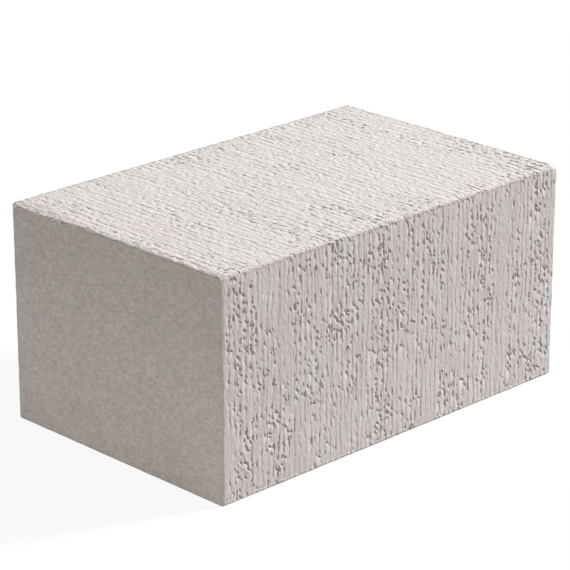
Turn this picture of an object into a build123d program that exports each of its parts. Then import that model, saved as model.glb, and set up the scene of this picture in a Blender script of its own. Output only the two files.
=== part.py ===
from build123d import *
import os

# Aerated concrete foundation block, cast, wire-cut and cured in one piece.
# Its two beds and two sides are wire-cut, and its two ends are smooth.
# Millimetres, +X along the length, +Z up, origin at the centre of the bottom bed.

# Driving dimensions
block_length = 440.0
block_width = 280.0
block_height = 215.0

# Arrises, worn round in handling: a wire-cut edge crumbles more than a smooth one
long_arris_radius = 2.4     # the four edges along the length, where a bed meets a side
end_arris_radius = 1.2      # the edges round each smooth end

# Corners knocked off: how far each break runs along, across and down or up the block
right_break_along = 12.0    # top corner of the front side and the right end
right_break_across = 6.0
right_break_down = 4.0
near_break_along = 7.0      # top corner of the front side and the left end
near_break_across = 4.5
near_break_down = 5.0
foot_break_along = 4.0      # bottom corner of the front side and the right end
foot_break_across = 3.5
foot_break_up = 3.0


def worn_block():
    """The block on its bottom bed: its end section run along the length, with both ends eased."""
    end_section = RectangleRounded(block_width, block_height, long_arris_radius)
    middle = Plane.YZ * Pos(0, block_height / 2)
    block = extrude(middle * end_section, block_length / 2, both=True)
    return fillet(block.faces().filter_by(Axis.X).edges(), end_arris_radius)


def knock_off(block, corner, along, across, upright):
    """The block with one corner broken off, on the plane that meets its three edges."""
    on_length = corner + Vector(along, 0, 0)
    on_width = corner + Vector(0, across, 0)
    on_height = corner + Vector(0, 0, upright)
    outward = (on_width - on_length).cross(on_height - on_length)
    if outward.dot(corner - on_length) < 0:
        outward = -outward
    return split(block, Plane(on_length, z_dir=outward), keep=Keep.BOTTOM)


def finished_block():
    """The worn block with its three knocked corners, all on the front side."""
    left, right, front = -block_length / 2, block_length / 2, -block_width / 2
    right_top = Vector(right, front, block_height)
    near_top = Vector(left, front, block_height)
    right_foot = Vector(right, front, 0)
    block = worn_block()
    block = knock_off(block, right_top, -right_break_along, right_break_across, -right_break_down)
    block = knock_off(block, near_top, near_break_along, near_break_across, -near_break_down)
    return knock_off(block, right_foot, -foot_break_along, foot_break_across, foot_break_up)


os.makedirs("parts", exist_ok=True)
export_step(finished_block(), "parts/block.step")
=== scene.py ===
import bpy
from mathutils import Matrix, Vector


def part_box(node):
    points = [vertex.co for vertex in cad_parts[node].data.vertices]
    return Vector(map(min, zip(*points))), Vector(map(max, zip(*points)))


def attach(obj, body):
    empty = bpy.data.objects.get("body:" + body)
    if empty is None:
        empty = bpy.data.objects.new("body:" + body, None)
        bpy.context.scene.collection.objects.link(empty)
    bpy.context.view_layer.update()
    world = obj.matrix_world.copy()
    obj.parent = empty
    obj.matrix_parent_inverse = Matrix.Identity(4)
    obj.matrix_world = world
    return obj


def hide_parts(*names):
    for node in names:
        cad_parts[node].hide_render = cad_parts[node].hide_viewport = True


bl_info = {
    "name": "Aerated concrete block",
    "version": (1, 0, 0),
    "blender": (4, 5, 0),
    "location": "3D View > Sidebar > Concrete block",
    "description": "Gives the plain block its wire-cut faces, smooth ends, chipped arrises and finish",
    "category": "Add Mesh",
}

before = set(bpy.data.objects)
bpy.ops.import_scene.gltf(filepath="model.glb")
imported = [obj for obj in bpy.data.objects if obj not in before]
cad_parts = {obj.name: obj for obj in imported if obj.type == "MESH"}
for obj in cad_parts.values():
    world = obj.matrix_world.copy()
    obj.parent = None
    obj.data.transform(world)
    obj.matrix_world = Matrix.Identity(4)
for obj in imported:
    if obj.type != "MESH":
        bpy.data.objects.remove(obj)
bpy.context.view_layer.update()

import math

import bpy
import numpy as np
from bpy.props import FloatProperty, FloatVectorProperty, IntProperty, PointerProperty
from bpy.types import Operator, Panel, PropertyGroup
from mathutils import Vector

# The block stands on its bottom bed, with +X along its length and +Z up. All sizes are in metres.
MM = 0.001
LOW, HIGH = (np.array(corner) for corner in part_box("block"))
LENGTH, WIDTH, HEIGHT = HIGH - LOW
MIDDLE = (LOW + HIGH) / 2

# The cut faces are unrolled: "across" runs along the length, and "along" runs with the wire, up the
# front side, over the top bed, down the back side and under the bottom bed.
GIRTH = 2 * (WIDTH + HEIGHT)
FIELD_STEP = 0.5 * MM
FIELD_SHAPE = (round(LENGTH / FIELD_STEP), round(GIRTH / FIELD_STEP))

# Arrises, rounded in handling: how far the rounding reaches from the edge onto each face
END_ROUNDING = 1.2 * MM     # measured along the length
LONG_ROUNDING = 2.4 * MM    # measured across and up

# Corners knocked off: which corner, as signs along X, Y and Z, and how far the break runs along each
KNOCKED_CORNERS = {
    "right_top": ((1, -1, 1), (12 * MM, 6 * MM, 4 * MM)),
    "near_top": ((-1, -1, 1), (5.5 * MM, 3.5 * MM, 4 * MM)),
    "right_foot": ((1, -1, -1), (4 * MM, 3.5 * MM, 3 * MM)),
}

# Chips out of the arris of the top bed and the left end. Each is a dish: its place, as a share of the
# width from the front, its depth, its tilt from level in degrees, and its radius over its depth.
CHIPS = (
    (0.985, 2.2 * MM, 20, 7), (0.950, 2.6 * MM, 10, 14), (0.900, 3.1 * MM, 8, 15),
    (0.840, 2.8 * MM, 8, 14), (0.785, 2.2 * MM, 9, 17), (0.735, 1.5 * MM, 10, 20),
    (0.915, 2.0 * MM, 38, 3), (0.865, 1.7 * MM, 35, 3.5), (0.812, 1.8 * MM, 40, 3),
    (0.627, 2.9 * MM, 44, 1.6), (0.602, 2.2 * MM, 50, 1.8), (0.540, 0.9 * MM, 14, 18),
    (0.430, 1.1 * MM, 16, 15), (0.300, 0.9 * MM, 12, 18), (0.200, 1.4 * MM, 10, 16),
    (0.120, 1.8 * MM, 12, 11), (0.060, 2.1 * MM, 15, 9),
)

# Uneven wear of the edges, as depths and as the sizes of the crumbs that fell away
ARRIS_REACH = 2.6 * MM      # how far in from the edge the wear reaches
LONG_WEAR = 1.0 * MM        # on the arrises along the block
END_WEAR = 0.45 * MM        # on the edges round the ends
WEAR_CRUMBS = (7 * MM, 2.2 * MM)    # broad and fine
FOOT_REACH = 20 * MM        # below this height the edges are worn less
FOOT_WEAR = 0.4             # their share of the wear further up
BREAK_WEAR, BREAK_CRUMBS = 0.8 * MM, 2.6 * MM       # on the breaks of the knocked corners
END_WAVE, END_WAVES = 0.06 * MM, 22 * MM            # how far the smooth ends dip, and over what length

# Where the wire tears the cut. A pair of sizes is the size across the wire's lines and the size along
# them, here and below. A tear is what it adds to the noise of the bands and spots.
TORN_BANDS = (7 * MM, 60 * MM)
TORN_SPOTS, SPOT_SHARE = (9 * MM, 13 * MM), 0.7
TORN_RANGE = (-2.4, 3.0)    # below it the cut is whole, and above it torn most
BED_TEAR = -1.4                             # all over the beds
RIM_TEAR, RIM_REACH = 1.8, 26 * MM          # in from the rims of a bed
FRONT_TEAR, FRONT_REACH = 0.8, 75 * MM      # on the top bed, back from the front side
LEFT_TEAR, LEFT_REACH = 0.9, 75 * MM        # on the beds, in from the left end
STRIP_TEAR, STRIP_PLACE, STRIP_REACH = 0.9, 24 * MM, 18 * MM    # on the sides, near the left end
BED_MARGIN, LEFT_MARGIN, RIGHT_MARGIN = 0.5 * MM, 2.5 * MM, 1.0 * MM    # plain strips beside the ends
MARGIN_WAVES, MARGIN_WAVE = (4 * MM, 8 * MM), 1.2 * MM      # how the strips' edges wander
RIBBONS = (2.2 * MM, 45 * MM)       # broad ribbons that the wire drags up and down

# Marks of the wire: the mesh carves them and the material sharpens them
PLAIN = -0.5                # how torn the plain margins beside the ends are, below the least torn cut
FACE_APART = 7.3            # moves each cut face to a part of the noise of its own
SWAYS, SWAY_REACH = (16 * MM, 45 * MM), 9 * MM      # how the lines wander, and how far
CROWDS, CROWD_REACH = (11 * MM, 70 * MM), 5 * MM    # how they crowd together, and how far
LINE_PITCH = 6.6 * MM       # from one drag line to the next
LINE_WIDTH = 1.45 * MM      # half-width of a faint line
LINE_SWELL = 0.40 * MM      # what is added to it where the line is torn deep
LINE_SLOPE = (1.0, 0.3)     # from the edge of a line to its bottom, as shares of its half-width
BEADS = (3.2 * MM, 8.5 * MM)        # the beads that a line breaks up into
BEAD_SLANT = 0.35           # how far the beads lean across, for each step along
BED_SHORTER = 0.8           # how much more often the lines of a bed break up than those of a side
BED_WIDER = 0.2             # how much the marks of a bed are spread out across, beside those of a side
BEAD_RANGE = (0.43, 0.69)   # noise below it leaves the line faint, and above it tears it deep
WHOLE_DEPTH, TORN_DEPTH = 0.55, 0.5     # depth of a bead in whole cut, and what torn cut adds
FAINT_RUNS = (5 * MM, 26 * MM)      # the runs that a faint line keeps up
FAINT_RANGE = (0.36, 0.60)  # noise below it hides a faint line, and above it shows it whole
FAINT_LINE = 0.38           # how dark and deep a faint line is, for 1 in the deepest pit
HAIR_WIDTH = 0.9 * MM       # half-width of the faint lines that cross the others
HAIR_SWAY = -14 * MM        # how far these lines wander the other way
HAIR_PITCH = 2.6 * LINE_PITCH
HAIR_RUNS, HAIR_RANGE = (12 * MM, 60 * MM), (0.46, 0.58)
HAIR_APART = 3.1            # moves their runs away from those of the other lines
CRUMBS = (3.6 * MM, 4.6 * MM)       # from one crumb to the next in torn places
CRUMB_SCATTER = 0.85        # how far crumbs stray from an even grid, from 0 to 1
CRUMB_SHARE = 0.46          # share of the places that hold a crumb in the most torn parts
CRUMB_SPREAD = 0.20         # the share of places over which crumbs go from shallow to deep
CRUMB_LEAN = (0.30, 0.65)   # how far a crumb leans across, and what chance adds
CRUMB_REACH = (0.06, 0.13)  # square of a crumb's reach, and what chance adds
CRUMB_SLOPE = (1.0, 0.40)   # from the edge of a crumb to its bottom, as shares of that square
CRUMB_NARROW = (1.45, -0.40)        # how a crumb is squeezed across on a side, and what a bed adds
CRUMB_SHORT = (0.72, 0.45)          # how it is squeezed along, likewise
LIP_SHIFT = (1.5 * MM, 1.3 * MM)    # from a pit to the lip raised beside it

# Relief too fine for the mesh, as heights of the bump
FINE_PIT_DEPTH = 0.15 * MM
FINE_LIP_HEIGHT = 0.14 * MM
RUMPLES, RUMPLE_HEIGHT = (3.1 * MM, 6.0 * MM), 0.62 * MM
STREAKS, STREAK_HEIGHT = (2.8 * MM, 28 * MM), 0.30 * MM
GRAIN, GRAIN_HEIGHT = (0.9 * MM, 1.1 * MM), 0.07 * MM
BED_ROUGHER = 2.3           # how much higher these stand on the beds than on the sides
GRIT, GRIT_HEIGHT = 2.2 * MM, 2.0 * MM
GRITTY = (5 * MM, 1.5 * MM)         # from this far to this near a long arris, grit takes the place of lines

# Skin of the ends, flaked off beside the arrises: how far in from the edge
END_FLAT = (0.45 * MM, 0.2 * MM)    # from this far to this near an end's plane, the end itself begins
EDGE_FLAKE = 0.5 * MM
PLAIN_FLAKE = 1.2 * MM      # along the top bed
TOP_FLAKE = 4.5 * MM        # along the top bed, near its back corner
FLAKES, FLAKE_RANGE = (12 * MM, 5 * MM), (0.36, 0.62)       # width and height of a flake, and its noise
FLAKE_EDGE = 0.5 * MM       # over which the skin sets in
SKIN_SMOOTH = 0.97          # share of the fine relief that the skin lacks

# Wear on the smooth skin of the ends
SPECK_PITCH = 13 * MM       # from one dark pinhole to the next
SPECK_RADIUS = 1.6 * MM     # of the largest pinhole
SCUFF_PLACE = (LOW[0], -100 * MM, 86 * MM)
SCUFF_REACH = 24 * MM
SCUFF_SLANT = 1.1           # how far a scratch leans sideways, for each step up
SCRATCHES, SCRATCH_RANGE = (1.6 * MM, 14 * MM), (0.60, 0.72)        # width and length, and the noise

# Tones of the cut faces
PIT_SHADE = 0.27             # painted shade: how far a pit takes on the dark pit colour
LIP_PAINTED_HIGHLIGHT = 0.05            # painted highlight: how much paler a raised lip is painted
BED_PAINTED_LIGHT = 0.03            # painted light: how much paler the beds, the lit top among them, are than the sides
PATCHES, PATCH_RANGE = (40 * MM, 55 * MM), (0.52, 0.62)     # greyer patches, and the noise they set in at
BED_GREYER = 0.26           # what the beds add to that noise
LEFT_PINKER, LEFT_PINK = 0.16, 90 * MM      # what the left end takes off it, and how far in
CUT_CLOUDS = (45 * MM, 0.06)        # size and contrast of the soft clouds
CUT_STREAKS = (3 * MM, 0.10)        # width and contrast of the streaks along the wire
STREAK_SHORTENING = 0.12    # width of a streak over its length

# Tones of the ends
END_PATCHES, END_PATCH_RANGE = (42 * MM, 20 * MM), (0.40, 0.64)     # greyer patches, likewise
END_PATCH_APART = 3.0       # a part of the noise of their own
END_CLOUDS = (30 * MM, 0.09)        # size and contrast of the soft clouds
END_GRAIN = (2.8 * MM, 0.82)        # size and contrast of the fine mottle
END_GRAIN_SHORTENING = 0.60         # height of that mottle over its width
SPECK_DARKER = 0.30
SCUFF_PALER = 0.22
RIM, RIM_DARKER = (3.6 * MM, 1.0 * MM), 0.10    # from this far to this near the edges of an end
HEAD, HEAD_PAINTED_SHADE = (0.45 * HEIGHT, HEIGHT), 0.12           # painted shade, from this height up
FOOT, FOOT_PAINTED_LIGHT = (0.75 * HEIGHT, 0.05 * HEIGHT), 0.06     # painted light, as if from the floor below: from this height down, on every face
END_FOOT_PAINTED_LIGHT = 0.03       # what the ends add to that painted light

# Paint of the floor: what lights the block from below, and what the camera sees
FLOOR_GREY = (0.32, 0.32, 0.32, 1)
FLOOR_WHITE = (0.95, 0.95, 0.95, 1)
FLOOR_GLOW = 0.90           # share of what the camera sees that is plain white, without the shadow


class BlockRelief(PropertyGroup):
    """Depths and sizes of the marks that the wire leaves, and how fine the mesh is."""
    seed: IntProperty(name="Seed", description="Starts every random draw", default=30)
    grid_across: FloatProperty(
        name="Grid across", description="Spacing of the first mesh across the drag lines",
        default=0.8 * MM, unit="LENGTH")
    grid_along: FloatProperty(
        name="Grid along", description="Spacing of the first mesh along the drag lines",
        default=1.0 * MM, unit="LENGTH")
    triangles: IntProperty(
        name="Triangles", description="Triangles left in the finished mesh", default=196000)
    ribbon_depth: FloatProperty(
        name="Ribbon depth", description="Rise and fall of the broad drag ribbons",
        default=0.07 * MM, unit="LENGTH")
    pit_depth: FloatProperty(
        name="Pit depth", description="Depth of the deepest pits", default=1.2 * MM, unit="LENGTH")
    lip_height: FloatProperty(
        name="Lip height", description="Height of the lips raised beside the pits",
        default=0.25 * MM, unit="LENGTH")


class BlockFinish(PropertyGroup):
    """Colours of the block."""
    cut_colour: FloatVectorProperty(
        name="Cut faces", description="Colour of fresh and wire-cut concrete",
        subtype="COLOR", size=3, min=0, max=1, default=(0.680, 0.618, 0.596))
    grey_colour: FloatVectorProperty(
        name="Greyer patches", description="Colour of the greyer patches of the cut faces",
        subtype="COLOR", size=3, min=0, max=1, default=(0.674, 0.637, 0.615))
    end_colour: FloatVectorProperty(
        name="Ends", description="Colour of the smooth moulded ends",
        subtype="COLOR", size=3, min=0, max=1, default=(0.596, 0.528, 0.493))
    end_grey_colour: FloatVectorProperty(
        name="Greyer patches of the ends", description="Colour of the greyer patches of the ends",
        subtype="COLOR", size=3, min=0, max=1, default=(0.592, 0.543, 0.492))
    # Painted shade: the colour that pits and grooves are darkened towards, in place of the shade in them
    pit_shade_colour: FloatVectorProperty(
        name="Pits", description="Colour of the dust that lies in pits and grooves",
        subtype="COLOR", size=3, min=0, max=1, default=(0.330, 0.300, 0.285))


class BlockStudio(PropertyGroup):
    """Camera, lamps and floor."""
    camera_place: FloatVectorProperty(
        name="Camera place", description="Where the camera stands",
        subtype="TRANSLATION", size=3, default=(-1.70881, -1.73273, 1.02505))
    camera_aim: FloatVectorProperty(
        name="Camera aim", description="Point in the middle of the picture",
        subtype="TRANSLATION", size=3, default=(-0.00200, 0.00456, 0.11244))
    lens: FloatProperty(
        name="Lens", description="Focal length in millimetres on a 36 mm sensor", default=173.154)
    key_direction: FloatVectorProperty(
        name="Key direction", description="Direction from the block to the key lamp",
        subtype="DIRECTION", size=3, default=(0.743, -0.337, 0.578))
    key_distance: FloatProperty(
        name="Key distance", description="From the block to the key lamp", default=9.0, unit="LENGTH")
    key_side: FloatProperty(
        name="Key side", description="Side of the square key lamp", default=1.20, unit="LENGTH")
    key_power: FloatProperty(name="Key power", description="Power of the key lamp in watts", default=1000.0)
    fill_direction: FloatVectorProperty(
        name="Fill direction", description="Direction from the block to the fill lamp",
        subtype="DIRECTION", size=3, default=(-0.95, 0.10, 0.06))
    fill_distance: FloatProperty(
        name="Fill distance", description="From the block to the fill lamp", default=2.5, unit="LENGTH")
    fill_side: FloatProperty(
        name="Fill side", description="Side of the square fill lamp", default=1.4, unit="LENGTH")
    fill_power: FloatProperty(name="Fill power", description="Power of the fill lamp in watts", default=21.0)
    room_light: FloatProperty(
        name="Room light", description="Strength of the even light from all round", default=0.36)
    floor_side: FloatProperty(
        name="Floor side", description="Side of the square floor", default=9.0, unit="LENGTH")


def smooth_step(low, high, value):
    """0 below low, 1 above high, and a smooth rise between them."""
    share = np.clip((value - low) / (high - low), 0, 1)
    return share * share * (3 - 2 * share)


def unrolled_noise(rng, across, along):
    """Random field over the unrolled cut faces, of mean 0 and deviation 1, blurred across and along."""
    waves_across = np.fft.fftfreq(FIELD_SHAPE[0], FIELD_STEP)[:, None] * across
    waves_along = np.fft.rfftfreq(FIELD_SHAPE[1], FIELD_STEP)[None, :] * along
    blur = np.exp(-2 * math.pi ** 2 * (waves_across ** 2 + waves_along ** 2))
    field = np.fft.irfft2(np.fft.rfft2(rng.standard_normal(FIELD_SHAPE)) * blur, s=FIELD_SHAPE)
    return (field - field.mean()) / field.std()


def read_field(field, across, along):
    """Values of an unrolled field at points of the unrolled faces, between its samples too."""
    column = across / FIELD_STEP - 0.5
    row = along / FIELD_STEP - 0.5
    left, below = np.floor(column).astype(int), np.floor(row).astype(int)
    right_share, above_share = column - left, row - below
    value = 0
    for i, share_i in ((left, 1 - right_share), (left + 1, right_share)):
        for j, share_j in ((below, 1 - above_share), (below + 1, above_share)):
            value = value + share_i * share_j * field[i % FIELD_SHAPE[0], j % FIELD_SHAPE[1]]
    return value


def solid_noise(lattice, points, cell):
    """Smooth random values in space, from -1 to 1, that change over about one cell."""
    place = points / cell
    base = np.floor(place).astype(int)
    share = place - base
    share = share * share * (3 - 2 * share)
    value = 0
    for corner in np.ndindex(2, 2, 2):
        weight = np.prod(np.where(corner, share, 1 - share), axis=1)
        index = (base + corner) % lattice.shape[0]
        value = value + weight * lattice[index[:, 0], index[:, 1], index[:, 2]]
    return value


def on_bed(along):
    """Whether a place along the girth is on the top or bottom bed."""
    return (along - HEIGHT) % (WIDTH + HEIGHT) < WIDTH


def torn_share(rng, across, along):
    """How torn the cut is, from 0 to 1: in bands along the wire, and on the beds mostly at the rims."""
    bands = unrolled_noise(rng, *TORN_BANDS) + SPOT_SHARE * unrolled_noise(rng, *TORN_SPOTS)
    round_bed = (along - HEIGHT) % (WIDTH + HEIGHT)
    from_end = np.minimum(across, LENGTH - across)
    from_rim = np.minimum(np.minimum(round_bed, WIDTH - round_bed), from_end)
    bed_tear = RIM_TEAR * np.exp(-(np.clip(from_rim, 0, None) / RIM_REACH) ** 2) + BED_TEAR
    bed_tear += FRONT_TEAR * np.exp(-(round_bed / FRONT_REACH) ** 2)
    bed_tear += LEFT_TEAR * np.exp(-(across / LEFT_REACH) ** 2)
    side_tear = STRIP_TEAR * np.exp(-((across - STRIP_PLACE) / STRIP_REACH) ** 2)
    return smooth_step(*TORN_RANGE, bands + np.where(on_bed(along), bed_tear, side_tear))


def wire_cut_fields(relief):
    """Rise and fall of the ribbons, and how torn the cut is, over the unrolled cut faces."""
    rng = np.random.default_rng(relief.seed)
    across, along = np.meshgrid(
        (np.arange(FIELD_SHAPE[0]) + 0.5) * FIELD_STEP,
        (np.arange(FIELD_SHAPE[1]) + 0.5) * FIELD_STEP, indexing="ij")
    from_end = np.minimum(across, LENGTH - across) + MARGIN_WAVE * unrolled_noise(rng, *MARGIN_WAVES)
    side_margin = np.where(across < LENGTH / 2, LEFT_MARGIN, RIGHT_MARGIN)
    margin = np.where(on_bed(along), BED_MARGIN, side_margin)
    cut = smooth_step(margin, 3 * margin, from_end)
    torn = torn_share(rng, across, along) * cut + PLAIN * (1 - cut)
    ribbons = relief.ribbon_depth * unrolled_noise(rng, *RIBBONS) * cut
    return ribbons, torn


def nearest_cut_face(points):
    """The nearest of the four cut faces: 0 front, 1 top, 2 back and 3 bottom."""
    y, z = points[:, 1] - LOW[1], points[:, 2] - LOW[2]
    return np.argmin(np.stack([y, HEIGHT - z, WIDTH - y, z]), axis=0)


def girth_place(points):
    """Where each point lies along the unrolled girth, going by the nearest of the four cut faces."""
    y, z = points[:, 1] - LOW[1], points[:, 2] - LOW[2]
    return np.choose(nearest_cut_face(points),
                     [z, HEIGHT + y, 2 * HEIGHT + WIDTH - z, 2 * (HEIGHT + WIDTH) - y])


def box_grid(relief):
    """Points and quads of a closed grid over the six faces of the sharp-edged box."""
    n_x = round(LENGTH / relief.grid_across)
    n_y = round(WIDTH / relief.grid_along)
    n_z = round(HEIGHT / relief.grid_along)
    xs, ys, zs = (np.linspace(LOW[k], HIGH[k], n + 1) for k, n in enumerate((n_x, n_y, n_z)))
    loop_y = np.concatenate([np.full(n_z, ys[0]), ys[:-1], np.full(n_z, ys[-1]), ys[:0:-1]])
    loop_z = np.concatenate([zs[:-1], np.full(n_y, zs[-1]), zs[:0:-1], np.full(n_y, zs[0])])
    around = len(loop_y)
    sleeve = np.stack([np.repeat(xs, around), np.tile(loop_y, n_x + 1), np.tile(loop_z, n_x + 1)], axis=1)
    points = [sleeve]
    i, j = np.meshgrid(np.arange(n_x), np.arange(around), indexing="ij")
    ahead = (j + 1) % around
    quads = [np.stack([i * around + j, (i + 1) * around + j, (i + 1) * around + ahead, i * around + ahead],
                      axis=-1).reshape(-1, 4)]
    first_free = len(sleeve)
    loop_column = np.concatenate([np.zeros(n_z), np.arange(n_y), np.full(n_z, n_y), np.arange(n_y, 0, -1)])
    loop_row = np.concatenate([np.arange(n_z), np.full(n_y, n_z), np.arange(n_z, 0, -1), np.zeros(n_y)])
    for end, x in ((0, xs[0]), (n_x, xs[-1])):
        index = np.zeros((n_y + 1, n_z + 1), dtype=int)
        index[loop_column.astype(int), loop_row.astype(int)] = end * around + np.arange(around)
        inner_y, inner_z = np.meshgrid(ys[1:-1], zs[1:-1], indexing="ij")
        index[1:-1, 1:-1] = first_free + np.arange(inner_y.size).reshape(inner_y.shape)
        first_free += inner_y.size
        points.append(np.stack([np.full(inner_y.size, x), inner_y.ravel(), inner_z.ravel()], axis=1))
        corners = [index[:-1, :-1], index[1:, :-1], index[1:, 1:], index[:-1, 1:]]
        if x == xs[0]:
            corners.reverse()
        quads.append(np.stack(corners, axis=-1).reshape(-1, 4))
    return np.concatenate(points), np.concatenate(quads)


def rounded(points):
    """The box's points drawn in onto its rounded arrises, and the outward direction at each."""
    radii = np.array([END_ROUNDING, LONG_ROUNDING, LONG_ROUNDING])
    inner = np.clip(points, LOW + radii, HIGH - radii)
    reach = (points - inner) / radii
    reach /= np.linalg.norm(reach, axis=1)[:, None]
    outward = reach / radii
    outward /= np.linalg.norm(outward, axis=1)[:, None]
    return inner + radii * reach, outward


def crumble(points, sharp_points, outward, lattice):
    """Wears the arrises unevenly: small crumbs fall away, deepest on the edges themselves."""
    from_face = np.sort(np.minimum(sharp_points - LOW, HIGH - sharp_points), axis=1)
    near_edge = np.exp(-(from_face[:, 1] / ARRIS_REACH) ** 2)
    broad = smooth_step(-0.1, 0.7, solid_noise(lattice, points, WEAR_CRUMBS[0]))
    fine = smooth_step(-0.3, 0.8, solid_noise(lattice, points, WEAR_CRUMBS[1]))
    long_edge = np.minimum(sharp_points - LOW, HIGH - sharp_points)[:, 0] > 5 * MM
    worst = np.where(long_edge, LONG_WEAR, END_WEAR)
    worst *= np.where(sharp_points[:, 2] < FOOT_REACH, FOOT_WEAR, 1.0)
    return points - outward * (worst * near_edge * (0.55 * broad + 0.45 * fine))[:, None]


def knock_corners(points, lattice):
    """Flattens the points outside each knocked corner's break onto it, and roughens the break."""
    for signs, reach in KNOCKED_CORNERS.values():
        signs, reach = np.array(signs), np.array(reach)
        corner = np.where(signs > 0, HIGH, LOW)
        normal = signs / reach
        normal /= np.linalg.norm(normal)
        beyond = (points - corner) @ normal + abs(reach[0] * normal[0])
        beyond += BREAK_WEAR * (solid_noise(lattice, points, BREAK_CRUMBS) + 1) * (beyond > -1 * MM)
        points = points - normal * np.clip(beyond, 0, None)[:, None]
    return points


def scoop_chips(points, rng):
    """Breaks shallow scoops out of the arris of the top bed and the left end, most near its back corner."""
    for place, bite, tilt, dish in CHIPS:
        radius = bite * dish
        edge = np.array([LOW[0], LOW[1] + place * WIDTH, HIGH[2]])
        tilt = math.radians(tilt)
        outward = np.array([-math.sin(tilt), rng.uniform(-0.08, 0.08), math.cos(tilt)])
        outward /= np.linalg.norm(outward)
        centre = edge + outward * (radius - bite)
        offset = points - centre
        distance = np.linalg.norm(offset, axis=1)
        inside = distance < radius
        points[inside] = centre + offset[inside] * (radius / distance[inside])[:, None]
    return points


def marks_at(points, torn):
    """How deep in a pit, and how high on a lip, each point lies, from 0 to 1, as the material draws them."""
    cloud = bpy.data.meshes.new("points")
    cloud.vertices.add(len(points))
    face = nearest_cut_face(points)
    along = np.where(face % 2 == 1, points[:, 1], points[:, 2])
    for name, values in (("Across", points[:, 0]), ("Along", along), ("Face", face), ("Torn", torn)):
        add_mask(cloud, name, values)
    holder = bpy.data.objects.new("points", cloud)
    bpy.context.scene.collection.objects.link(holder)
    tree = bpy.data.node_groups.new("Find the wire marks", "GeometryNodeTree")
    tree.interface.new_socket("Geometry", in_out="INPUT", socket_type="NodeSocketGeometry")
    tree.interface.new_socket("Geometry", in_out="OUTPUT", socket_type="NodeSocketGeometry")
    geometry = put(tree, "NodeGroupInput").outputs["Geometry"]
    marks = put(tree, "GeometryNodeGroup", node_tree=wire_relief_group("GeometryNodeTree"))
    for name in ("Across", "Along", "Face", "Torn"):
        value = put(tree, "GeometryNodeInputNamedAttribute", {"Name": name}, data_type="FLOAT")
        tree.links.new(value.outputs["Attribute"], marks.inputs[name])
    for name in ("Pits", "Lips"):
        geometry = put(tree, "GeometryNodeStoreNamedAttribute", {
            "Geometry": geometry, "Name": name, "Value": marks.outputs[name]},
            data_type="FLOAT", domain="POINT").outputs["Geometry"]
    result = put(tree, "NodeGroupOutput")
    tree.links.new(geometry, result.inputs["Geometry"])
    holder.modifiers.new("Marks", "NODES").node_group = tree
    found = holder.evaluated_get(bpy.context.evaluated_depsgraph_get()).data
    marks = {}
    for name in ("Pits", "Lips"):
        values = np.empty(len(points), dtype=np.float32)
        found.attributes[name].data.foreach_get("value", values)
        marks[name] = values.astype(float)
    bpy.data.objects.remove(holder)
    bpy.data.meshes.remove(cloud)
    for group in [group for group in bpy.data.node_groups if group.bl_idname == "GeometryNodeTree"]:
        bpy.data.node_groups.remove(group)
    return marks["Pits"], marks["Lips"]


def carved_points(points, relief, ribbon_field, torn_field, lattice):
    """Moves the sharp box's points onto the worn and wire-cut block."""
    shaped, outward = rounded(points)
    cut_share = np.linalg.norm(outward[:, 1:], axis=1)
    across, along = points[:, 0] - LOW[0], girth_place(points)
    pits, lips = marks_at(points, read_field(torn_field, across, along))
    from_faces = np.sort(np.minimum(points - LOW, HIGH - points)[:, 1:], axis=1)
    near_arris = smooth_step(GRITTY[0], GRITTY[1], from_faces[:, 1])
    height = (read_field(ribbon_field, across, along) + relief.lip_height * lips) * (1 - near_arris)
    height -= relief.pit_depth * smooth_step(0.25, 1.0, pits)
    depth = -height
    end_wave = END_WAVE * (1 + solid_noise(lattice, points, END_WAVES))
    shaped = shaped - outward * (cut_share * depth + (1 - cut_share) * end_wave)[:, None]
    shaped = crumble(shaped, points, outward, lattice)
    shaped = scoop_chips(shaped, np.random.default_rng(relief.seed + 1))
    return knock_corners(shaped, lattice)


def thinned_mesh(points, quads, triangles):
    """A mesh of the grid, collapsed to the given number of triangles where it is flattest."""
    dense = bpy.data.meshes.new("dense_grid")
    dense.vertices.add(len(points))
    dense.vertices.foreach_set("co", points.astype(np.float32).ravel())
    dense.loops.add(quads.size)
    dense.loops.foreach_set("vertex_index", quads.astype(np.int32).ravel())
    dense.polygons.add(len(quads))
    dense.polygons.foreach_set("loop_start", np.arange(0, quads.size, 4, dtype=np.int32))
    dense.update(calc_edges=True)
    holder = bpy.data.objects.new("dense_grid", dense)
    bpy.context.scene.collection.objects.link(holder)
    thin = holder.modifiers.new("Thin", "DECIMATE")
    thin.ratio = triangles / (2 * len(quads))
    thin.use_collapse_triangulate = True
    depsgraph = bpy.context.evaluated_depsgraph_get()
    mesh = bpy.data.meshes.new_from_object(holder.evaluated_get(depsgraph))
    bpy.data.objects.remove(holder)
    bpy.data.meshes.remove(dense)
    return mesh


def mesh_points(mesh):
    """The mesh's vertices as an array."""
    points = np.empty(len(mesh.vertices) * 3, dtype=np.float32)
    mesh.vertices.foreach_get("co", points)
    return points.reshape(-1, 3).astype(float)


def add_mask(mesh, name, values, domain="POINT"):
    """Stores one value per vertex or per face for a node tree."""
    mask = mesh.attributes.new(name, "FLOAT", domain)
    mask.data.foreach_set("value", values.astype(np.float32))


def add_masks(mesh, torn_field):
    """Masks for the material: how torn each vertex is, and which cut face each triangle is nearest to."""
    points = mesh_points(mesh)
    add_mask(mesh, "torn", read_field(torn_field, points[:, 0] - LOW[0], girth_place(points)))
    corners = np.empty(len(mesh.loops), dtype=np.int32)
    mesh.loops.foreach_get("vertex_index", corners)
    middles = points[corners].reshape(-1, 3, 3).mean(axis=1)
    add_mask(mesh, "cut_face", nearest_cut_face(middles), "FACE")


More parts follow.
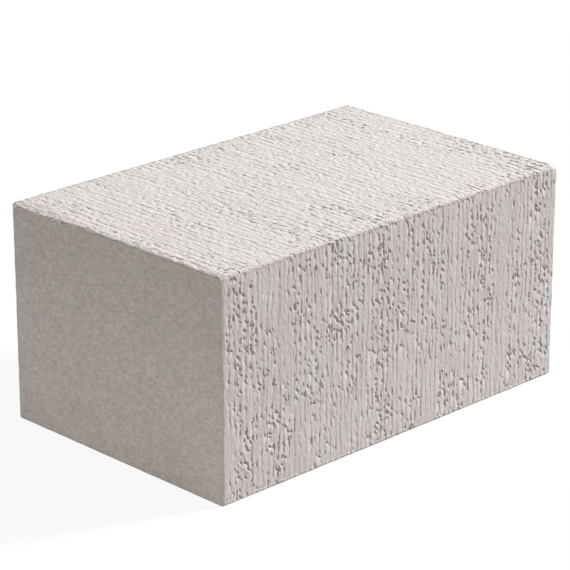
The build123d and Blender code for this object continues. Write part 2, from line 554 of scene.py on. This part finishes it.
def add_bake_map(mesh):
    """Lays the six faces out side by side in one square map, each with a margin, at one scale."""
    points = mesh_points(mesh)
    corner_index = np.empty(len(mesh.loops), dtype=np.int32)
    mesh.loops.foreach_get("vertex_index", corner_index)
    normals = np.empty(len(mesh.polygons) * 3, dtype=np.float32)
    mesh.polygons.foreach_get("normal", normals)
    normals = normals.reshape(-1, 3)
    facing = np.argmax(np.abs(normals), axis=1)
    positive = np.take_along_axis(normals, facing[:, None], axis=1)[:, 0] > 0
    gap = 6 * MM
    rows = [WIDTH, WIDTH, HEIGHT, HEIGHT, HEIGHT]
    side = sum(rows[:4]) + 5 * gap
    face_axes = {
        (2, True): ((0, 1), (gap, gap)),
        (2, False): ((0, 1), (gap, 2 * gap + WIDTH)),
        (1, False): ((0, 2), (gap, 3 * gap + 2 * WIDTH)),
        (1, True): ((0, 2), (gap, 4 * gap + 2 * WIDTH + HEIGHT)),
        (0, False): ((1, 2), (2 * gap + LENGTH, gap)),
        (0, True): ((1, 2), (2 * gap + LENGTH, 2 * gap + HEIGHT)),
    }
    loop_facing, loop_positive = np.repeat(facing, 3), np.repeat(positive, 3)
    place = np.zeros((len(corner_index), 2))
    for (axis, is_positive), (axes, start) in face_axes.items():
        chosen = (loop_facing == axis) & (loop_positive == is_positive)
        local = points[corner_index[chosen]][:, axes] - LOW[list(axes)]
        place[chosen] = local + np.array(start)
    bake_map = mesh.uv_layers.new(name="OFBake")
    bake_map.data.foreach_set("uv", (place / side).astype(np.float32).ravel())


def new_group(name, inputs, outputs, kind_of_tree="ShaderNodeTree"):
    """An empty node group with named inputs (name, kind, default) and outputs (name, kind)."""
    group = bpy.data.node_groups.new(name, kind_of_tree)
    for label, kind, default in inputs:
        socket = group.interface.new_socket(label, in_out="INPUT", socket_type=kind)
        socket.default_value = default
    for label, kind in outputs:
        group.interface.new_socket(label, in_out="OUTPUT", socket_type=kind)
    return group, group.nodes.new("NodeGroupInput"), group.nodes.new("NodeGroupOutput")


def put(tree, kind, links=None, **settings):
    """Adds a node, sets its properties, and feeds its inputs with other sockets or plain values."""
    node = tree.nodes.new(kind)
    for name, value in settings.items():
        setattr(node, name, value)
    for name, value in (links or {}).items():
        if isinstance(value, bpy.types.NodeSocket):
            tree.links.new(value, node.inputs[name])
        else:
            node.inputs[name].default_value = value
    return node


def arithmetic(tree, operation, first, second=0.0, third=0.0):
    """A Math node of two or three values, and its result."""
    return put(tree, "ShaderNodeMath", {0: first, 1: second, 2: third}, operation=operation).outputs[0]


def times(tree, first, second):
    """The product of two values."""
    return arithmetic(tree, "MULTIPLY", first, second)


def raised(tree, mask, least, added):
    """The first value, with the second added to it where the mask is 1."""
    return arithmetic(tree, "MULTIPLY_ADD", mask, added, least)


def mottle_group():
    """Soft clouds of light and dark, 1 on average."""
    group, given, result = new_group(
        "Soft mottle",
        [("Place", "NodeSocketVector", (0, 0, 0)), ("Cloud size", "NodeSocketFloat", 0.03),
         ("Contrast", "NodeSocketFloat", 0.05)],
        [("Tone", "NodeSocketFloat")])
    pitch = arithmetic(group, "DIVIDE", 1.0, given.outputs["Cloud size"])
    clouds = put(group, "ShaderNodeTexNoise", {
        "Vector": given.outputs["Place"], "Scale": pitch, "Detail": 4.0, "Roughness": 0.55})
    swing = arithmetic(group, "SUBTRACT", clouds.outputs["Fac"], 0.5)
    swing = times(group, swing, given.outputs["Contrast"])
    group.links.new(arithmetic(group, "ADD", swing, 1.0), result.inputs["Tone"])
    return group


def stretched_noise(tree, across, along, face, size_across, size_along, detail=1.0):
    """Noise whose marks are size_across wide and size_along long, different on each pair of faces."""
    vector = put(tree, "ShaderNodeCombineXYZ", {
        "X": arithmetic(tree, "DIVIDE", across, size_across),
        "Y": arithmetic(tree, "DIVIDE", along, size_along), "Z": face}).outputs[0]
    return put(tree, "ShaderNodeTexNoise", {
        "Vector": vector, "Scale": 1.0, "Detail": detail, "Roughness": 0.5}).outputs["Fac"]


def stepped(tree, value, low, high):
    """0 below low and 1 above high, or the other way round where low is above high."""
    return put(tree, "ShaderNodeMapRange", {
        "Value": value, "From Min": low, "From Max": high, "To Min": 0.0, "To Max": 1.0},
        interpolation_type="SMOOTHSTEP").outputs["Result"]


WIRE_INPUTS = [("Across", "NodeSocketFloat", 0.0), ("Along", "NodeSocketFloat", 0.0),
               ("Face", "NodeSocketFloat", 0.0), ("Torn", "NodeSocketFloat", 0.5)]


def wire_marks_group(kind_of_tree):
    """Marks of the wire, from 0 to 1: broken lines along the cut, and crumbs pulled out where it is torn."""
    group, given, result = new_group("Wire marks", WIRE_INPUTS, [("Marks", "NodeSocketFloat")], kind_of_tree)
    across, along, face, torn = (given.outputs[name] for name in ("Across", "Along", "Face", "Torn"))
    bed = arithmetic(group, "MODULO", face, 2.0)
    face = times(group, face, FACE_APART)
    across = times(group, across, raised(group, bed, 1.0, -BED_WIDER))
    sway = stretched_noise(group, across, along, face, *SWAYS, 2.0)
    across = arithmetic(group, "MULTIPLY_ADD", sway, SWAY_REACH, across)
    crowding = stretched_noise(group, across, along, face, *CROWDS, 1.0)
    across = arithmetic(group, "MULTIPLY_ADD", crowding, CROWD_REACH, across)

    distance = arithmetic(group, "PINGPONG", across, LINE_PITCH / 2)
    leaning = arithmetic(group, "MULTIPLY_ADD", along, BEAD_SLANT, across)
    shortened = times(group, along, raised(group, bed, 1.0, BED_SHORTER))
    beads = stepped(group, stretched_noise(group, leaning, shortened, face, *BEADS, 2.0), *BEAD_RANGE)
    deep = times(group, beads, raised(group, torn, WHOLE_DEPTH, TORN_DEPTH))
    width = arithmetic(group, "MULTIPLY_ADD", deep, LINE_SWELL, LINE_WIDTH)
    core = stepped(group, arithmetic(group, "DIVIDE", distance, width), *LINE_SLOPE)
    faint = stepped(group, stretched_noise(group, across, along, face, *FAINT_RUNS, 2.0), *FAINT_RANGE)
    darkness = arithmetic(group, "MAXIMUM", deep, times(group, faint, FAINT_LINE))
    lines = times(group, core, darkness)

    crossing = arithmetic(group, "MULTIPLY_ADD", sway, HAIR_SWAY, across)
    hair = arithmetic(group, "PINGPONG", crossing, HAIR_PITCH / 2)
    hair = stepped(group, hair, *(HAIR_WIDTH * share for share in LINE_SLOPE))
    seen = arithmetic(group, "ADD", face, HAIR_APART)
    seen = stepped(group, stretched_noise(group, across, along, seen, *HAIR_RUNS), *HAIR_RANGE)
    hairs = times(group, hair, times(group, seen, FAINT_LINE))
    lines = arithmetic(group, "MAXIMUM", lines, hairs)

    vector = put(group, "ShaderNodeCombineXYZ", {
        "X": arithmetic(group, "MULTIPLY_ADD", face, 5.0, arithmetic(group, "DIVIDE", across, CRUMBS[0])),
        "Y": arithmetic(group, "DIVIDE", along, CRUMBS[1])}).outputs[0]
    cells = put(group, "ShaderNodeTexVoronoi", {
        "Vector": vector, "Scale": 1.0, "Randomness": CRUMB_SCATTER}, voronoi_dimensions="2D")
    offset = put(group, "ShaderNodeVectorMath", {0: vector, 1: cells.outputs["Position"]},
                 operation="SUBTRACT").outputs[0]
    offset = put(group, "ShaderNodeSeparateXYZ", {0: offset})
    drawn = put(group, "ShaderNodeSeparateXYZ", {0: cells.outputs["Color"]})
    lean = raised(group, drawn.outputs["Y"], *CRUMB_LEAN)
    sideways = arithmetic(group, "MULTIPLY_ADD", lean, offset.outputs["Y"], offset.outputs["X"])
    sideways = times(group, sideways, raised(group, bed, *CRUMB_NARROW))
    lengthways = times(group, offset.outputs["Y"], raised(group, bed, *CRUMB_SHORT))
    spread = arithmetic(group, "MULTIPLY_ADD", sideways, sideways,
                        times(group, lengthways, lengthways))
    reach = raised(group, drawn.outputs["Z"], *CRUMB_REACH)
    crumb = stepped(group, arithmetic(group, "DIVIDE", spread, reach), *CRUMB_SLOPE)
    spare = times(group, torn, CRUMB_SHARE)
    spare = arithmetic(group, "SUBTRACT", spare, drawn.outputs["X"])
    crumbs = times(group, crumb, stepped(group, spare, 0.0, CRUMB_SPREAD))
    marks = arithmetic(group, "MAXIMUM", lines, crumbs)
    marks = times(group, marks, stepped(group, torn, PLAIN, 0.0))
    group.links.new(marks, result.inputs["Marks"])
    return group


def wire_relief_group(kind_of_tree):
    """The wire's pits, and the lips raised beside them, each from 0 to 1."""
    group, given, result = new_group(
        "Wire relief", WIRE_INPUTS, [("Pits", "NodeSocketFloat"), ("Lips", "NodeSocketFloat")], kind_of_tree)
    wire_marks = wire_marks_group(kind_of_tree)
    kind_of_group = kind_of_tree.replace("NodeTree", "NodeGroup")

    def marked(shift_across, shift_along):
        """The marks, moved across and along."""
        marks = put(group, kind_of_group, node_tree=wire_marks)
        for name, shift in (("Across", shift_across), ("Along", shift_along), ("Face", 0.0), ("Torn", 0.0)):
            moved = given.outputs[name]
            if shift:
                moved = arithmetic(group, "SUBTRACT", moved, shift)
            group.links.new(moved, marks.inputs[name])
        return marks.outputs["Marks"]

    pits = marked(0.0, 0.0)
    lips = arithmetic(group, "SUBTRACT", marked(*LIP_SHIFT), times(group, pits, 2.0))
    group.links.new(pits, result.inputs["Pits"])
    group.links.new(arithmetic(group, "MAXIMUM", lips, 0.0), result.inputs["Lips"])
    return group


def block_places(tree):
    """Where a point of the block lies, which cut face it is nearest to and how torn it is, as sockets."""
    place = put(tree, "ShaderNodeTexCoord").outputs["Object"]
    x, y, z = put(tree, "ShaderNodeSeparateXYZ", {0: place}).outputs
    face, torn = (put(tree, "ShaderNodeAttribute", attribute_name=name).outputs["Fac"]
                  for name in ("cut_face", "torn"))
    bed = arithmetic(tree, "MODULO", face, 2.0)
    along = put(tree, "ShaderNodeMix", {"Factor": bed, "A": z, "B": y}).outputs[0]
    return {"place": place, "x": x, "y": y, "z": z, "face": face, "torn": torn, "bed": bed, "along": along}


def end_skin(tree, spot):
    """Masks of the flat ends and of their smooth skin, and how far in from the edges a point lies."""
    centred = put(tree, "ShaderNodeVectorMath", {0: spot["place"], 1: tuple(MIDDLE)},
                  operation="SUBTRACT").outputs[0]
    centred = put(tree, "ShaderNodeVectorMath", {0: centred}, operation="ABSOLUTE").outputs[0]
    half = tuple((HIGH - LOW) / 2)
    inside = put(tree, "ShaderNodeVectorMath", {0: half, 1: centred}, operation="SUBTRACT").outputs[0]
    from_end, from_side, from_bed = put(tree, "ShaderNodeSeparateXYZ", {0: inside}).outputs
    inward = arithmetic(tree, "MINIMUM", from_side, from_bed)
    on_end = stepped(tree, from_end, *END_FLAT)
    flaking = stretched_noise(tree, spot["y"], spot["z"], 0.0, *FLAKES, 2.0)
    top = stepped(tree, spot["z"], HIGH[2] - 2 * TOP_FLAKE, HIGH[2] - 1.5 * TOP_FLAKE)
    worst = stepped(tree, spot["y"], 0.15 * WIDTH, 0.35 * WIDTH)
    width = raised(tree, worst, PLAIN_FLAKE, TOP_FLAKE - PLAIN_FLAKE)
    width = times(tree, width, top)
    width = times(tree, width, stepped(tree, flaking, *FLAKE_RANGE))
    broken = arithmetic(tree, "ADD", width, EDGE_FLAKE)
    kept = stepped(tree, arithmetic(tree, "SUBTRACT", inward, broken), 0.0, FLAKE_EDGE)
    return {"on_end": on_end, "skin": times(tree, on_end, kept), "inward": inward,
            "from_bed": from_bed, "from_arris": arithmetic(tree, "MAXIMUM", from_side, from_bed)}


def end_wear(tree, spot):
    """Masks of the wear on the ends: pinholes all over, and pale scuffs low down beside the front."""
    cells = put(tree, "ShaderNodeTexVoronoi", {
        "Vector": spot["place"], "Scale": 1 / SPECK_PITCH, "Randomness": 1.0})
    drawn = put(tree, "ShaderNodeSeparateXYZ", {0: cells.outputs["Color"]}).outputs["X"]
    reach = times(tree, drawn, SPECK_RADIUS / SPECK_PITCH)
    specks = stepped(tree, cells.outputs["Distance"], reach, 0.0)
    centre = put(tree, "ShaderNodeVectorMath", {0: spot["place"], 1: SCUFF_PLACE}, operation="DISTANCE")
    near = stepped(tree, centre.outputs["Value"], SCUFF_REACH, 0.5 * SCUFF_REACH)
    slanted = arithmetic(tree, "MULTIPLY_ADD", spot["z"], SCUFF_SLANT, spot["y"])
    scratches = stretched_noise(tree, slanted, spot["z"], 0.0, *SCRATCHES, 1.0)
    scratches = stepped(tree, scratches, *SCRATCH_RANGE)
    return specks, times(tree, near, scratches)


def scaled(tree, colour, scale):
    """The colour, made lighter or darker."""
    return put(tree, "ShaderNodeVectorMath", {0: colour, "Scale": scale}, operation="SCALE").outputs[0]


def shaded(tree, colour, mask, change):
    """The colour, made lighter under the mask, or darker where the change is below 0."""
    return scaled(tree, colour, raised(tree, mask, 1.0, change))


def toned(tree, mottle, colour, place, cloud_size, contrast):
    """The colour, clouded lighter and darker."""
    tone = put(tree, "ShaderNodeGroup", {
        "Place": place, "Cloud size": cloud_size, "Contrast": contrast}, node_tree=mottle)
    return scaled(tree, colour, tone.outputs["Tone"])


def blended(tree, share, first, second):
    """One colour over another."""
    return put(tree, "ShaderNodeMix", {"Factor": share, "A": first, "B": second},
               data_type="RGBA").outputs["Result"]


def cut_tones(tree, finish, mottle, spot):
    """Colour of the wire-cut faces: pinkish and greyer patches, a painted highlight on the lips, painted
    shade in the pits, and beds painted paler.
    """
    patches = stretched_noise(tree, spot["x"], spot["along"], spot["face"], *PATCHES, 2.0)
    beside_left = stepped(tree, spot["x"], LOW[0] + LEFT_PINK, LOW[0])
    greyed = arithmetic(tree, "MULTIPLY_ADD", spot["bed"], BED_GREYER, patches)
    greyed = arithmetic(tree, "MULTIPLY_ADD", beside_left, -LEFT_PINKER, greyed)
    greyed = stepped(tree, greyed, *PATCH_RANGE)
    colour = blended(tree, greyed, (*finish.cut_colour, 1), (*finish.grey_colour, 1))
    colour = toned(tree, mottle, colour, spot["place"], *CUT_CLOUDS)
    lined = put(tree, "ShaderNodeCombineXYZ", {
        "X": spot["x"], "Y": times(tree, spot["along"], STREAK_SHORTENING),
        "Z": spot["face"]}).outputs[0]
    colour = toned(tree, mottle, colour, lined, *CUT_STREAKS)
    # Painted light: the beds, the lit top among them, are made paler than the sides
    colour = shaded(tree, colour, spot["bed"], BED_PAINTED_LIGHT)
    # Painted highlight on the raised lips
    colour = shaded(tree, colour, spot["lips"], LIP_PAINTED_HIGHLIGHT)
    # Painted shade: the pits are darkened towards the pit colour
    return blended(tree, times(tree, spot["pits"], PIT_SHADE), colour, (*finish.pit_shade_colour, 1))


def end_tones(tree, finish, mottle, spot):
    """Colour of the smooth ends: greyer patches, fine mottle and wear, darker at the rim, with painted shade
    towards the top and painted light towards the foot.
    """
    tint = stretched_noise(tree, spot["y"], spot["z"], END_PATCH_APART, *END_PATCHES, 2.0)
    tint = stepped(tree, tint, *END_PATCH_RANGE)
    colour = blended(tree, tint, (*finish.end_colour, 1), (*finish.end_grey_colour, 1))
    colour = toned(tree, mottle, colour, spot["place"], *END_CLOUDS)
    rubbed = put(tree, "ShaderNodeCombineXYZ", {
        "X": spot["x"], "Y": times(tree, spot["y"], END_GRAIN_SHORTENING),
        "Z": spot["z"]}).outputs[0]
    colour = toned(tree, mottle, colour, rubbed, *END_GRAIN)
    specks, scuffs = end_wear(tree, spot)
    rim = stepped(tree, spot["inward"], *RIM)
    # Painted shade: the ends are darkened from this height up
    painted_head_shade = stepped(tree, spot["z"], *HEAD)
    # Specks, scuffs and a darker rim, then painted light at the foot and painted shade at the top
    for mask, change in ((specks, -SPECK_DARKER), (scuffs, SCUFF_PALER), (rim, -RIM_DARKER),
                         (spot["foot"], END_FOOT_PAINTED_LIGHT), (painted_head_shade, -HEAD_PAINTED_SHADE)):
        colour = shaded(tree, colour, mask, change)
    return colour


def fine_relief(tree, spot):
    """Height of what is too fine for the mesh: grain and drag marks, grit on the arrises, pits and lips."""
    spread = times(tree, spot["x"], raised(tree, spot["bed"], 1.0, -1.5 * BED_WIDER))
    height = 0.0
    for size, rise in ((GRAIN, GRAIN_HEIGHT), (RUMPLES, RUMPLE_HEIGHT), (STREAKS, STREAK_HEIGHT)):
        noise = stretched_noise(tree, spread, spot["along"], spot["face"], *size, 2.0)
        height = arithmetic(tree, "MULTIPLY_ADD", noise, rise, height)
    height = times(tree, height, raised(tree, spot["bed"], 1.0, BED_ROUGHER))
    near_arris = stepped(tree, spot["from_arris"], *GRITTY)
    height = times(tree, height, arithmetic(tree, "SUBTRACT", 1.0, near_arris))
    grit = put(tree, "ShaderNodeTexNoise", {
        "Vector": spot["place"], "Scale": 1 / GRIT, "Detail": 2.0, "Roughness": 0.6}).outputs["Fac"]
    grit = times(tree, grit, near_arris)
    height = arithmetic(tree, "MULTIPLY_ADD", grit, GRIT_HEIGHT, height)
    fine = arithmetic(tree, "SUBTRACT", times(tree, spot["lips"], FINE_LIP_HEIGHT),
                      times(tree, spot["pits"], FINE_PIT_DEPTH))
    height = arithmetic(tree, "MULTIPLY_ADD", fine, arithmetic(tree, "ADD", spot["bed"], 1.0), height)
    rough_share = arithmetic(tree, "SUBTRACT", 1.0, times(tree, spot["skin"], SKIN_SMOOTH))
    return times(tree, height, rough_share)


def block_material(finish, mottle):
    """Aerated concrete: pale torn faces with painted shade in their pits, and darker, smoother ends."""
    material = bpy.data.materials.new("aerated_concrete")
    material.use_nodes = True
    tree = material.node_tree
    tree.nodes.clear()
    spot = block_places(tree)
    spot.update(end_skin(tree, spot))
    across = arithmetic(tree, "MULTIPLY_ADD", spot["on_end"], spot["from_bed"], spot["x"])
    marks = put(tree, "ShaderNodeGroup", {
        "Across": across, "Along": spot["along"], "Face": spot["face"], "Torn": spot["torn"]},
        node_tree=wire_relief_group("ShaderNodeTree"))
    spot.update(pits=marks.outputs["Pits"], lips=marks.outputs["Lips"])
    # Painted light low down on every face, as if bounced up from the floor
    spot["foot"] = stepped(tree, spot["z"], *FOOT)
    cut, end = (tones(tree, finish, mottle, spot) for tones in (cut_tones, end_tones))
    # Painted light low down on every face
    colour = shaded(tree, blended(tree, spot["skin"], cut, end), spot["foot"], FOOT_PAINTED_LIGHT)
    bump = put(tree, "ShaderNodeBump", {
        "Height": fine_relief(tree, spot), "Strength": 1.0, "Distance": 1.0})
    shader = put(tree, "ShaderNodeBsdfPrincipled", {
        "Base Color": colour, "Normal": bump.outputs["Normal"], "Roughness": 0.92,
        "Specular IOR Level": 0.3})
    output = put(tree, "ShaderNodeOutputMaterial")
    tree.links.new(shader.outputs["BSDF"], output.inputs["Surface"])
    return material


def floor_material():
    """Pale studio floor that the camera sees as white, with a light shadow."""
    material = bpy.data.materials.new("studio_floor")
    material.use_nodes = True
    tree = material.node_tree
    tree.nodes.clear()
    seen = put(tree, "ShaderNodeLightPath").outputs["Is Camera Ray"]
    paint = put(tree, "ShaderNodeBsdfPrincipled", {
        "Base Color": put(tree, "ShaderNodeMix", {"Factor": seen, "A": FLOOR_GREY, "B": FLOOR_WHITE},
                          data_type="RGBA").outputs["Result"],
        "Roughness": 0.9, "Specular IOR Level": 0.0})
    glow = put(tree, "ShaderNodeEmission", {"Color": (1, 1, 1, 1), "Strength": 1.0})
    share = times(tree, seen, FLOOR_GLOW)
    both = put(tree, "ShaderNodeMixShader", {0: share, 1: paint.outputs["BSDF"], 2: glow.outputs[0]})
    output = put(tree, "ShaderNodeOutputMaterial")
    tree.links.new(both.outputs[0], output.inputs["Surface"])
    return material


def light_room(strength):
    """Even light from all round, with a white background for the camera."""
    world = bpy.data.worlds.new("studio")
    bpy.context.scene.world = world
    world.use_nodes = True
    tree = world.node_tree
    tree.nodes.clear()
    path = put(tree, "ShaderNodeLightPath")
    seen = arithmetic(tree, "MAXIMUM", path.outputs["Is Camera Ray"], path.outputs["Is Glossy Ray"])
    seen = arithmetic(tree, "MAXIMUM", seen, path.outputs["Is Transmission Ray"])
    level = put(tree, "ShaderNodeMix", {"Factor": seen, "A": strength, "B": 1.0}).outputs[0]
    back = put(tree, "ShaderNodeBackground", {"Color": (1, 1, 1, 1), "Strength": level})
    output = put(tree, "ShaderNodeOutputWorld")
    tree.links.new(back.outputs[0], output.inputs["Surface"])


def aimed(data, name, place, target):
    """Links a lamp or camera at a place, looking at a target."""
    item = bpy.data.objects.new(name, data)
    item.location = place
    item.rotation_euler = (Vector(target) - Vector(place)).to_track_quat("-Z", "Y").to_euler()
    bpy.context.scene.collection.objects.link(item)
    return item


class CONCRETE_OT_studio(Operator):
    """Sets the camera, the key and fill lamps, the room light and the pale floor"""
    bl_idname = "concrete_block.studio"
    bl_label = "Set up the studio"

    def execute(self, context):
        studio = context.scene.block_studio
        camera = bpy.data.cameras.new("camera")
        camera.lens = studio.lens
        camera.sensor_width = 36.0
        camera.clip_end = 50.0
        context.scene.camera = aimed(camera, "camera", studio.camera_place, studio.camera_aim)
        for name in ("key", "fill"):
            lamp = bpy.data.lights.new(name, "AREA")
            lamp.size = getattr(studio, name + "_side")
            lamp.energy = getattr(studio, name + "_power")
            direction = Vector(getattr(studio, name + "_direction")).normalized()
            distance = getattr(studio, name + "_distance")
            aimed(lamp, name, Vector(MIDDLE) + direction * distance, MIDDLE)
        light_room(studio.room_light)
        half = studio.floor_side / 2
        mesh = bpy.data.meshes.new("floor")
        mesh.from_pydata([(-half, -half, 0), (half, -half, 0), (half, half, 0), (-half, half, 0)], [],
                         [(0, 1, 2, 3)])
        mesh.materials.append(floor_material())
        floor = bpy.data.objects.new("floor", mesh)
        context.scene.collection.objects.link(floor)
        context.scene.view_settings.view_transform = "Standard"
        return {"FINISHED"}


class CONCRETE_OT_block(Operator):
    """Carves the block's wire-cut faces, smooth ends and chipped arrises, and gives it its finish"""
    bl_idname = "concrete_block.block"
    bl_label = "Carve the block"

    def execute(self, context):
        relief = context.scene.block_relief
        ribbon_field, torn_field = wire_cut_fields(relief)
        lattice = np.random.default_rng(relief.seed + 2).uniform(-1, 1, (64, 64, 64))
        points, quads = box_grid(relief)
        points = carved_points(points, relief, ribbon_field, torn_field, lattice)
        mesh = thinned_mesh(points, quads, relief.triangles)
        mesh.name = "wire_cut_block"
        add_masks(mesh, torn_field)
        add_bake_map(mesh)
        mesh.shade_smooth()
        mesh.materials.append(block_material(context.scene.block_finish, mottle_group()))
        block = bpy.data.objects.new("wire_cut_block", mesh)
        context.scene.collection.objects.link(block)
        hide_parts("block")
        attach(block, "root")
        return {"FINISHED"}


class CONCRETE_PT_panel(Panel):
    """Lists the settings and the steps that build the block"""
    bl_idname = "CONCRETE_PT_panel"
    bl_label = "Concrete block"
    bl_space_type = "VIEW_3D"
    bl_region_type = "UI"
    bl_category = "Concrete block"

    def draw(self, context):
        for group in (context.scene.block_relief, context.scene.block_finish, context.scene.block_studio):
            box = self.layout.box()
            for name in type(group).__annotations__:
                box.prop(group, name)
        self.layout.operator(CONCRETE_OT_block.bl_idname)
        self.layout.operator(CONCRETE_OT_studio.bl_idname)


CLASSES = (BlockRelief, BlockFinish, BlockStudio, CONCRETE_OT_block, CONCRETE_OT_studio, CONCRETE_PT_panel)


def register():
    for cls in CLASSES:
        bpy.utils.register_class(cls)
    bpy.types.Scene.block_relief = PointerProperty(type=BlockRelief)
    bpy.types.Scene.block_finish = PointerProperty(type=BlockFinish)
    bpy.types.Scene.block_studio = PointerProperty(type=BlockStudio)


def unregister():
    del bpy.types.Scene.block_studio
    del bpy.types.Scene.block_finish
    del bpy.types.Scene.block_relief
    for cls in reversed(CLASSES):
        bpy.utils.unregister_class(cls)


def main():
    """Builds the block and its studio."""
    register()
    bpy.ops.concrete_block.studio()
    bpy.ops.concrete_block.block()


if __name__ == "__main__":
    main()
